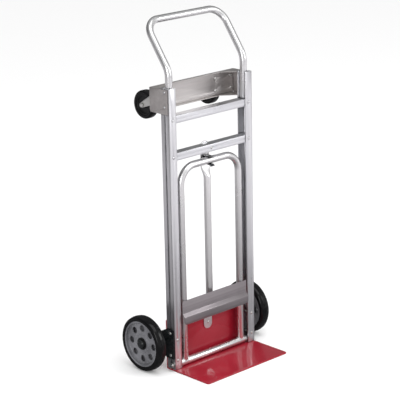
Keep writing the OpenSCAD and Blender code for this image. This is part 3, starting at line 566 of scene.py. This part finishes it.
def strut_ring(height):
    """The strut's half width, half depth and squareness at a height, in millimetres."""
    from_end = min(height - lower_end, upper_end - height)
    from_flat = max(0.0, min(height - lower_flat, upper_flat - height)) / taper
    ease = min(1.0, from_flat)
    ease = ease * ease * (3.0 - 2.0 * ease)
    wide = flat_wide + (strut_radius - flat_wide) * ease
    deep = flat_half + (strut_radius - flat_half) * ease
    if from_end < flat_wide:
        wide = math.sqrt(flat_wide ** 2 - (flat_wide - from_end) ** 2)
    return wide, deep, 0.35 + 0.65 * ease


rounding = [1.5, 4.0, 7.5, 12.0, 16.0, 20.0]
heights = [lower_end + v for v in rounding] + [lower_flat - 12.0]
heights += [lower_flat + taper * i / 10 for i in range(11)] + [330.0, 450.0, 570.0]
heights += [upper_flat - taper * i / 10 for i in range(10, -1, -1)]
heights += [upper_flat + 30.0] + [upper_end - v for v in rounding[::-1]]
bpy.ops.object.select_all(action="DESELECT")
bpy.ops.mesh.primitive_circle_add(vertices=48, radius=strut_radius * MM, fill_type="NGON")
strut = new_piece("strut")
bpy.ops.object.mode_set(mode="EDIT")
bpy.ops.mesh.select_all(action="SELECT")
for _ in heights[1:]:
    bpy.ops.mesh.extrude_region_move(TRANSFORM_OT_translate={"value": (0.0, 0.0, 1.0)})
bpy.ops.object.mode_set(mode="OBJECT")
for vertex in strut.data.vertices:
    height = heights[round(vertex.co.z)]
    wide, deep, power = strut_ring(height)
    angle = math.atan2(vertex.co.y, vertex.co.x)
    x = math.copysign(abs(math.cos(angle)) ** power, math.cos(angle)) * wide
    y = math.copysign(abs(math.sin(angle)) ** power, math.sin(angle)) * deep
    vertex.co = Vector((x, strut_back - deep + y, height)) * MM
only(strut)
bpy.ops.object.mode_set(mode="EDIT")
bpy.ops.mesh.select_all(action="SELECT")
bpy.ops.mesh.normals_make_consistent(inside=False)
bpy.ops.object.mode_set(mode="OBJECT")
bpy.ops.object.shade_smooth_by_angle(angle=math.radians(40))
fit(strut, "centre_strut", strut_aluminium)
fit(eased("strut_fasteners", fastener_edge), "strut_fasteners", zinc_steel)


def dress(node, material):
    """Gives a CAD node, whose shape is right as it is, its real finish."""
    part = frame["nodes"][node]
    for part_slot in part.material_slots:
        part_slot.link = "OBJECT"
        part_slot.material = material


# The clip's edges are painted bright, as wear and as painted highlights on its lips.
spring_steel = bare_metal(
    "blued spring steel", (0.045, 0.045, 0.05), (0.10, 0.10, 0.11),
    (400.0, 400.0, 8.0), (0.24, 0.4), wear_and_highlight_gain=3.5,
)
fit(eased("hoop_clip", 0.4), "hoop_clip", spring_steel)
dress("clip_rivet", rivet_aluminium)

# ---- Hoop ------------------------------------------------------------------------------
# A bent tube welded to a cross tube that turns on a steel rod, with a stepped aluminium
# extrusion across its legs.

hoop_tube_metal = drawn_tube(
    "drawn aluminium hoop", (0.78, 0.775, 0.78), (0.90, 0.895, 0.90), (0.26, 0.34)
)
hoop_across, pivot_back, pivot_up, hoop_top, hoop_corner = 141.0, 15.2, 20.0, 741.0, 65.0
foot = 24.0
leg = hoop_top - hoop_corner - foot
hoop = bent_tube(
    "hoop_bow", (-hoop_across, pivot_back, foot), (0.0, 0.0, 1.0),
    [leg, (hoop_corner, 90.0, (0.0, 1.0, 0.0)), 2 * (hoop_across - hoop_corner),
     (hoop_corner, 90.0, (0.0, 1.0, 0.0)), leg],
)
cross_tube = bent_tube(
    "hoop_cross_bar", (-166.5, pivot_back, pivot_up), (1.0, 0.0, 0.0), [333.0]
)

# A weld bead runs round each foot where the bow is coped onto the cross tube: a ring of
# overlapping scales that follows the saddle between the two tubes.
bead_radius, scales, bead_out, bead_lift, bead_trim = 1.8, 36, 0.6, 0.5, 0.9
bead = []
bpy.ops.object.select_all(action="DESELECT")
for side in (-1, 1):
    for index in range(scales):
        turn = 2 * math.pi * index / scales
        reach_y = (tube_radius + bead_out) * math.sin(turn)
        if abs(reach_y) > tube_radius - bead_trim:
            reach_y = math.copysign(tube_radius - bead_trim, reach_y)
        saddle = math.sqrt(tube_radius ** 2 - reach_y ** 2)
        bpy.ops.mesh.primitive_uv_sphere_add(
            segments=10, ring_count=6, radius=bead_radius * MM,
            location=((side * hoop_across + (tube_radius + bead_out) * math.cos(turn)) * MM,
                      (pivot_back + reach_y) * MM, (pivot_up + saddle + bead_lift) * MM),
        )
        bead.append(bpy.context.active_object)
welds = joined(bead, "hoop_welds")
bpy.ops.object.transform_apply(location=True, rotation=True, scale=True)
squash = welds.modifiers.new("fused scales", "REMESH")
squash.mode = "VOXEL"
squash.voxel_size = 0.55 * MM
apply_all(welds)
bpy.ops.object.shade_smooth()
welds.data.materials.clear()
welds.data.materials.append(hoop_tube_metal)
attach(welds, "hoop")
fit(hoop, "hoop_tube", hoop_tube_metal)
fit(cross_tube, "hoop_cross_tube", hoop_tube_metal)
# The step plate is a darker copy of the aluminium: painted shade for its dim faces. Its edges are
# painted bright, as wear and as a painted highlight.
darkened_step_plate = bare_metal(
    "step plate painted darker", (0.27, 0.245, 0.26), (0.42, 0.385, 0.40),
    (4.0, 700.0, 700.0), (0.24, 0.38), wear_and_highlight_gain=3.0,
)
fit(eased("hoop_plate", 0.6), "hoop_plate", darkened_step_plate)

bright_steel = bare_metal(
    "turned bright steel", (0.5, 0.5, 0.5), (0.68, 0.68, 0.67), (500.0, 20.0, 20.0),
    (0.18, 0.3),
)
for node in ("pivot_rod", "pivot_spacers"):
    dress(node, bright_steel)
fit(eased("pivot_nuts", fastener_edge), "pivot_nuts", zinc_steel)

# ---- Axle brackets -----------------------------------------------------------------------
# Pressed steel plates bolted to the rails' outer sides, painted black. They carry the
# axle behind the rails' feet.


def black_finish(name, dark, light, rough, peel_scale, peel_depth, coat=0.0, gloss=0.35,
                 worn_and_highlit_colour=(0.05, 0.05, 0.053)):
    """A black surface with soft marks, a fine skin, and corners greyed as wear and as a painted
    highlight.
    """
    material, tree, shader = new_material(name)
    marks = use_group(tree, handling, Scale=11.0, Spread=0.5)
    edges = use_group(tree, edge_wear_and_highlight, Radius=1.0 * MM, Gain=1.6)
    place = add_node(tree, "ShaderNodeTexCoord")
    shade = mix_colour(tree, marks.outputs["Mask"], dark, light)
    greyed_and_highlit = mix_colour(tree, edges.outputs["Edge"], shade, worn_and_highlit_colour)
    skin = add_node(tree, "ShaderNodeTexNoise", Scale=peel_scale, Detail=3.0)
    relief = add_node(tree, "ShaderNodeBump", Strength=peel_depth, Distance=0.1 * MM)
    tree.links.new(place.outputs["Object"], skin.inputs["Vector"])
    tree.links.new(skin.outputs["Fac"], relief.inputs["Height"])
    tree.links.new(relief.outputs[0], shader.inputs["Normal"])
    tree.links.new(greyed_and_highlit, shader.inputs["Base Color"])
    tree.links.new(spread(tree, marks.outputs["Mask"], *rough), shader.inputs["Roughness"])
    shader.inputs["Coat Weight"].default_value = coat
    shader.inputs["Specular IOR Level"].default_value = gloss
    return material


black_paint = black_finish(
    "black stoved paint", (0.006, 0.007, 0.008), (0.012, 0.014, 0.015), (0.18, 0.3),
    500.0, 0.1, coat=0.2,
)
for node in ("axle_bracket_left", "axle_bracket_right"):
    fit(eased(node, 0.7), node, black_paint)
fit(eased("bracket_bolts", fastener_edge), "bracket_bolts", zinc_steel)

# ---- Main wheels ---------------------------------------------------------------------------
# A grey pressed disc and rim with a ring of round holes, a black moulded hub, and a solid
# rubber tyre moulded on the rim.

# The wheel's corners are painted light grey, as wear and as painted highlights on the rim.
wheel_paint = black_finish(
    "grey wheel paint", (0.10, 0.10, 0.11), (0.17, 0.17, 0.185), (0.22, 0.38), 300.0, 0.12,
    coat=0.3, worn_and_highlit_colour=(0.45, 0.45, 0.47),
)
black_nylon = black_finish(
    "black moulded nylon", (0.004, 0.004, 0.0045), (0.009, 0.009, 0.0095), (0.3, 0.45),
    900.0, 0.15, gloss=0.25,
)
tyre_rubber = black_finish(
    "black moulded rubber", (0.0025, 0.0025, 0.003), (0.006, 0.006, 0.0065), (0.18, 0.3),
    700.0, 0.08, coat=0.2, gloss=0.1,
)
wheel_back, wheel_up, wheel_out = 97.5, 101.6, 281.7
tyre_half, tread_radius, rim_radius, shoulder = 20.85, 101.6, 84.5, 13.0
hub_radius, outer_disc, disc_spacing, disc_thick = 22.5, 268.2, 18.0, 4.0
rim_thick, rim_in, hole_ring, hole_radius, hole_count = 5.0, 3.0, 57.0, 12.5, 8
wheel_centre = (wheel_back, wheel_up)


def arc(x, radius, size, start, end, steps=6):
    """Profile points round a corner centred on (x, radius), from start to end degrees."""
    return [
        (x + size * math.cos(math.radians(start + (end - start) * i / steps)),
         radius + size * math.sin(math.radians(start + (end - start) * i / steps)))
        for i in range(steps + 1)
    ]


def mirrored(piece, name):
    """A copy on the other side of the truck's centre plane, with its faces put right."""
    copy = copy_at(piece, name)
    bpy.ops.object.mode_set(mode="EDIT")
    bpy.ops.mesh.select_all(action="SELECT")
    bpy.ops.transform.resize(value=(-1.0, 1.0, 1.0), center_override=(0.0, 0.0, 0.0))
    bpy.ops.mesh.normals_make_consistent(inside=False)
    bpy.ops.object.mode_set(mode="OBJECT")
    return copy


def half_tyre(side):
    """One side of the tyre's section, from the rim out to the tread: side is -1 or 1."""
    edge = tyre_half
    points = [(edge - 3.0, rim_radius), (edge - 1.2, rim_radius + 0.3)]
    points += [(edge - 0.2, rim_radius + 1.2), (edge, rim_radius + 2.2)]
    points += [(edge - 0.2, rim_radius + 3.2), (edge - 1.3, rim_radius + 3.6)]
    points += [(edge - 1.3, rim_radius + 4.4), (edge - 0.3, rim_radius + 5.0)]
    points += arc(edge - shoulder, tread_radius - shoulder, shoulder, 8, 58, 8)
    points += [(6.4, tread_radius - 0.25), (5.8, tread_radius - 0.15)]
    points += [(5.5, tread_radius - 1.2), (4.3, tread_radius - 1.2), (4.0, tread_radius)]
    return [(side * x, radius) for x, radius in points]


tyre_middle = wheel_out - tyre_half
section = half_tyre(1) + half_tyre(-1)[::-1]
tyre = turned("tyre", [(tyre_middle + x, radius) for x, radius in section], wheel_centre, 128)

inside, lip = rim_radius - rim_thick, wheel_out - rim_in
back_lip = wheel_out - 2 * tyre_half + rim_in
front_face, back_face = outer_disc, outer_disc - disc_spacing
section = [(lip - 1.5, rim_radius), (lip - 0.4, rim_radius - 0.5), (lip, rim_radius - 1.8)]
section += [(lip - 0.3, rim_radius - 3.2), (lip - 1.4, inside - 0.6), (lip - 2.6, inside - 0.9)]
section += [(lip - 3.8, inside - 0.4), (lip - 4.2, inside), (front_face + 2.6, inside)]
section += [(front_face + 0.9, inside - 0.8), (front_face, inside - 2.8)]
section += [(front_face, inside - 5.5), (front_face + 1.1, inside - 6.6)]
section += [(front_face + 1.1, inside - 7.6), (front_face, inside - 8.7)]
section += [(front_face, 34.5), (front_face + 1.6, 32.5), (front_face + 1.6, hub_radius)]
section += [(front_face - disc_thick, hub_radius), (front_face - disc_thick, inside - 1.5)]
section += [(front_face - disc_thick - 1.5, inside), (back_face + 1.5, inside)]
section += [(back_face, inside - 1.5), (back_face, hub_radius)]
section += [(back_face - disc_thick, hub_radius), (back_face - disc_thick, inside - 1.5)]
section += [(back_face - disc_thick - 0.8, inside), (back_lip + 1.0, inside)]
section += [(back_lip, inside + 1.0), (back_lip, rim_radius - 1.0), (back_lip + 1.0, rim_radius)]
disc = turned("wheel_disc", section, wheel_centre)
bpy.ops.object.select_all(action="DESELECT")
cutters = []
for index in range(hole_count):
    turn = 2 * math.pi * index / hole_count
    bpy.ops.mesh.primitive_cylinder_add(
        vertices=32, radius=hole_radius * MM, depth=60.0 * MM, rotation=(0.0, math.pi / 2, 0.0),
        location=(outer_disc * MM, (wheel_back + hole_ring * math.sin(turn)) * MM,
                  (wheel_up + hole_ring * math.cos(turn)) * MM),
    )
    cutters.append(bpy.context.active_object)
cutter = joined(cutters, "hole_cutter")
cut = disc.modifiers.new("holes", "BOOLEAN")
cut.object = cutter
cut.solver = "EXACT"
apply_all(disc)
drop(cutter)
rolled = disc.modifiers.new("rolled hole edges", "BEVEL")
rolled.width = 0.9 * MM
rolled.segments = 3
rolled.limit_method = "ANGLE"
rolled.angle_limit = math.radians(70)
apply_all(disc)
bpy.ops.object.shade_smooth_by_angle(angle=math.radians(30))

# The hub turns on two bearings and has a shallow groove behind its front face.
hub_back, hub_front, bearing_radius, bearing_long = 238.5, 274.7, 13.95, 11.0
section = [(hub_back, bearing_radius), (hub_back, hub_radius - 1.5), (hub_back + 1.5, hub_radius)]
section += [(hub_front - 2.2, hub_radius), (hub_front - 1.0, hub_radius - 0.5)]
section += [(hub_front - 0.4, hub_radius - 1.6), (hub_front - 0.4, hub_radius - 3.0)]
section += [(hub_front - 2.4, hub_radius - 3.4), (hub_front - 2.4, 17.6)]
section += [(hub_front, 17.2), (hub_front, bearing_radius)]
section += [(hub_front - bearing_long, bearing_radius), (hub_front - bearing_long, 8.95)]
section += [(hub_back + bearing_long, 8.95), (hub_back + bearing_long, bearing_radius)]
hub = turned("wheel_hub", section, wheel_centre, 72)

for side, place_on_side in (("right", copy_at), ("left", mirrored)):
    fit(place_on_side(tyre, "tyre_%s_finished" % side), "tyre_" + side, tyre_rubber)
    fit(place_on_side(disc, "wheel_disc_%s_finished" % side), "wheel_disc_" + side, wheel_paint)
    fit(place_on_side(hub, "wheel_hub_%s_finished" % side), "wheel_hub_" + side, black_nylon)
for pattern in (tyre, disc, hub):
    drop(pattern)

# The axle runs right through. The hoop's bushes are of the same nylon as the hubs.
for node in ("axle", "axle_spacers", "wheel_bearings_left", "wheel_bearings_right"):
    dress(node, bright_steel)
fit(eased("axle_washers", 0.3), "axle_washers", zinc_steel)
dress("hoop_bushes", black_nylon)

# Pressed caps: a rolled rim, a low dome and a dimple where the driver seats.
cap_back, cap_radius, axle_radius = 276.7, 16.95, 7.95
section = [(cap_back, axle_radius), (cap_back, cap_radius - 0.6), (cap_back + 0.6, cap_radius)]
section += [(cap_back + 2.0, cap_radius), (cap_back + 2.8, cap_radius - 0.7)]
section += [(cap_back + 3.0, cap_radius - 2.0), (cap_back + 4.6, cap_radius - 3.0)]
section += [(cap_back + 6.4, cap_radius - 6.0), (cap_back + 7.4, 8.0), (cap_back + 7.9, 5.2)]
section += [(cap_back + 7.7, 4.4), (cap_back + 6.6, 3.6), (cap_back + 6.3, 0.0001)]
section += [(cap_back + 3.4, 0.0001), (cap_back + 3.4, axle_radius)]
cap = turned("axle_cap", section, wheel_centre, 64)
caps = joined([mirrored(cap, "cap_left"), cap], "axle_caps_finished")
fit(caps, "axle_caps", black_paint)

# ---- Casters ----------------------------------------------------------------------------------
# Two swivel casters, bolted through their plates to the back of the channel. Zinc-plated
# pressed forks turn on riveted pins, each with a black moulded wheel and a solid rubber
# tyre on a through bolt.

for side in ("left", "right"):
    fit(eased("caster_fork_" + side, 0.5), "caster_fork_" + side, zinc_steel)
for node in ("kingpins", "caster_races", "caster_plate_left", "caster_plate_right",
             "caster_axle_left", "caster_axle_right"):
    fit(eased(node, 0.3), node, zinc_steel)
fit(eased("caster_bolts", fastener_edge), "caster_bolts", zinc_steel)

# Each wheel is a dished core with a hub, and a crowned tyre with a parting line.
caster_across, caster_radius, caster_half, core_radius = 150.0, 51.0, 16.0, 37.0
channel_back, axle_behind, swivel_up, axle_below = 96.0, 77.0, 982.0, 37.0
caster_centre = (channel_back + axle_behind, swivel_up - axle_below)
section = [(caster_half - 0.4, core_radius)]
section += [(caster_half, core_radius + 0.8), (caster_half, core_radius + 2.0)]
section += [(caster_half - 0.9, core_radius + 2.6), (caster_half - 0.9, core_radius + 3.3)]
section += [(caster_half - 0.2, core_radius + 3.9)]
section += arc(caster_half - 8.0, caster_radius - 8.0, 8.0, 5, 78, 7)
section += [(3.0, caster_radius - 0.1), (0.8, caster_radius)]
section += [(-x, radius) for x, radius in section[::-1]]
tyre = turned(
    "caster_tyre", [(caster_across + x, r) for x, r in section], caster_centre, 96
)
core_half, recess, hub_half = caster_half - 3.0, caster_half - 9.0, caster_half + 1.2
hub_edge, core_bore, dish = 12.3, 6.35, core_radius - 5.0
section = [(hub_half, core_bore), (hub_half, hub_edge - 1.4), (hub_half - 1.4, hub_edge)]
section += [(recess + 1.2, hub_edge), (recess, hub_edge + 1.2), (recess, dish - 1.2)]
section += [(recess + 1.2, dish), (core_half - 0.8, dish), (core_half, dish + 0.8)]
section += [(core_half, core_radius)]
section += [(-x, radius) for x, radius in section[::-1]]
core = turned(
    "caster_core", [(caster_across + x, r) for x, r in section], caster_centre, 72
)
for side, place_on_side in (("right", copy_at), ("left", mirrored)):
    fit(place_on_side(tyre, "caster_tyre_%s_finished" % side), "caster_tyre_" + side,
        tyre_rubber)
    fit(place_on_side(core, "caster_wheel_%s_finished" % side), "caster_wheel_" + side,
        black_nylon)
drop(tyre)
drop(core)

# ---- Studio -------------------------------------------------------------------------------------
# A wide white floor under soft lamps. What the metal mirrors is shaped by the world and by
# a painted reflection in the floor's colour, which only glossy rays see: dim close to the
# truck and behind it on the left, bright out to the front right.

scene.view_settings.view_transform = "Standard"
bpy.ops.object.select_all(action="DESELECT")
bpy.ops.mesh.primitive_plane_add(size=60.0, location=(0.0, 0.0, -0.0003))
floor = bpy.context.active_object
floor.name = "studio_floor"
floor_white, tree, shader = new_material("matt white floor")


def plain_math(tree, operation, first, second):
    """A Math node; each input is a socket or a number."""
    node = add_node(tree, "ShaderNodeMath", operation=operation)
    for value, socket in ((first, node.inputs[0]), (second, node.inputs[1])):
        if isinstance(value, float):
            socket.default_value = value
        else:
            tree.links.new(value, socket)
    return node.outputs[0]


def ramp_between(tree, value, from_low, from_high, low, high):
    """Maps value from one range to another, clamped."""
    ranged = add_node(tree, "ShaderNodeMapRange")
    for label, number in (("From Min", from_low), ("From Max", from_high),
                          ("To Min", low), ("To Max", high)):
        ranged.inputs[label].default_value = number
    tree.links.new(value, ranged.inputs["Value"])
    return ranged.outputs[0]


place = add_node(tree, "ShaderNodeTexCoord")
axes = add_node(tree, "ShaderNodeSeparateXYZ")
away = add_node(tree, "ShaderNodeVectorMath", operation="LENGTH")
tree.links.new(place.outputs["Object"], axes.inputs[0])
tree.links.new(place.outputs["Object"], away.inputs[0])
# Painted reflection: to glossy rays the floor is painted darker close to the truck and towards the
# back left.
painted_reflection_falloff = ramp_between(tree, away.outputs["Value"], 0.45, 2.8, 0.24, 0.68)
sideways = plain_math(tree, "SUBTRACT", axes.outputs["X"], axes.outputs["Y"])
bearing = plain_math(tree, "DIVIDE", sideways, away.outputs["Value"])
painted_flag_dimming = ramp_between(tree, bearing, -0.9, 0.6, 0.75, 1.0)
painted_reflection = plain_math(tree, "MULTIPLY", painted_reflection_falloff, painted_flag_dimming)
painted_reflection_colour = add_node(tree, "ShaderNodeCombineColor")
tree.links.new(painted_reflection, painted_reflection_colour.inputs[0])
tree.links.new(plain_math(tree, "MULTIPLY", painted_reflection, 0.975), painted_reflection_colour.inputs[1])
tree.links.new(painted_reflection, painted_reflection_colour.inputs[2])
ray = add_node(tree, "ShaderNodeLightPath")
seen = mix_colour(tree, ray.outputs["Is Glossy Ray"], (0.955, 0.955, 0.955), painted_reflection_colour.outputs[0])
tree.links.new(seen, shader.inputs["Base Color"])
shader.inputs["Roughness"].default_value = 0.9
shader.inputs["Specular IOR Level"].default_value = 0.1
floor.data.materials.append(floor_white)


def soft_lamp(name, place_at, aim_at, width, height, watts):
    """A large rectangular lamp turned towards a point."""
    data = bpy.data.lights.new(name, "AREA")
    data.shape = "RECTANGLE"
    data.size = width
    data.size_y = height
    data.energy = watts
    lamp = bpy.data.objects.new(name, data)
    scene.collection.objects.link(lamp)
    lamp.location = place_at
    lamp.rotation_euler = (Vector(aim_at) - Vector(place_at)).to_track_quat("-Z", "Y").to_euler()
    return lamp


soft_lamp("key_lamp", (2.6, -3.8, 2.4), (0.0, 0.0, 0.6), 1.6, 2.4, 55.0)
soft_lamp("fill_lamp", (-3.6, -2.2, 1.8), (0.0, 0.0, 0.6), 1.2, 2.4, 40.0)
soft_lamp("top_lamp", (0.0, -1.6, 4.6), (0.0, 0.0, 0.0), 3.0, 3.0, 60.0)

world = bpy.data.worlds.new("studio room")
scene.world = world
world.use_nodes = True
tree = world.node_tree
tree.nodes.clear()
direction = tree.nodes.new("ShaderNodeTexCoord")
axes = tree.nodes.new("ShaderNodeSeparateXYZ")
tree.links.new(direction.outputs["Generated"], axes.inputs[0])
room = tree.nodes.new("ShaderNodeBackground")
mirrored_room = tree.nodes.new("ShaderNodeBackground")
front_light = ramp_between(tree, axes.outputs["Y"], -0.5, 0.3, 0.68, 0.16)
overhead = ramp_between(tree, axes.outputs["Z"], 0.45, 0.8, 0.0, 0.45)
tree.links.new(plain_math(tree, "MAXIMUM", front_light, overhead),
               mirrored_room.inputs["Strength"])
room.inputs["Strength"].default_value = 0.98
ray = tree.nodes.new("ShaderNodeLightPath")
choose = tree.nodes.new("ShaderNodeMixShader")
output = tree.nodes.new("ShaderNodeOutputWorld")
tree.links.new(ray.outputs["Is Glossy Ray"], choose.inputs[0])
tree.links.new(room.outputs[0], choose.inputs[1])
tree.links.new(mirrored_room.outputs[0], choose.inputs[2])
tree.links.new(choose.outputs[0], output.inputs["Surface"])
room.inputs["Color"].default_value = (1.0, 1.0, 1.0, 1.0)
mirrored_room.inputs["Color"].default_value = (1.0, 1.0, 1.0, 1.0)

camera_data = bpy.data.cameras.new("camera")
camera = bpy.data.objects.new("camera", camera_data)
scene.collection.objects.link(camera)
scene.camera = camera
azimuth, elevation, roll = math.radians(-43.29), math.radians(16.83), math.radians(-1.19)
aim = Vector((-0.0452, 0.020, 0.6023))
distance = 5.724
camera_data.lens = 145.8
camera_data.sensor_width = 36.0
camera_data.clip_end = 200.0
towards_camera = Vector((
    math.sin(azimuth) * math.cos(elevation),
    -math.cos(azimuth) * math.cos(elevation),
    math.sin(elevation),
))
camera.location = aim + distance * towards_camera
level = (-towards_camera).to_track_quat("-Z", "Y").to_matrix()
right, up = level.col[0].copy(), level.col[1].copy()
camera.rotation_mode = "QUATERNION"
tilted_right = math.cos(roll) * right + math.sin(roll) * up
tilted_up = -math.sin(roll) * right + math.cos(roll) * up
tilted = level.copy()
tilted.col[0], tilted.col[1] = tilted_right, tilted_up
camera.rotation_quaternion = tilted.to_quaternion()
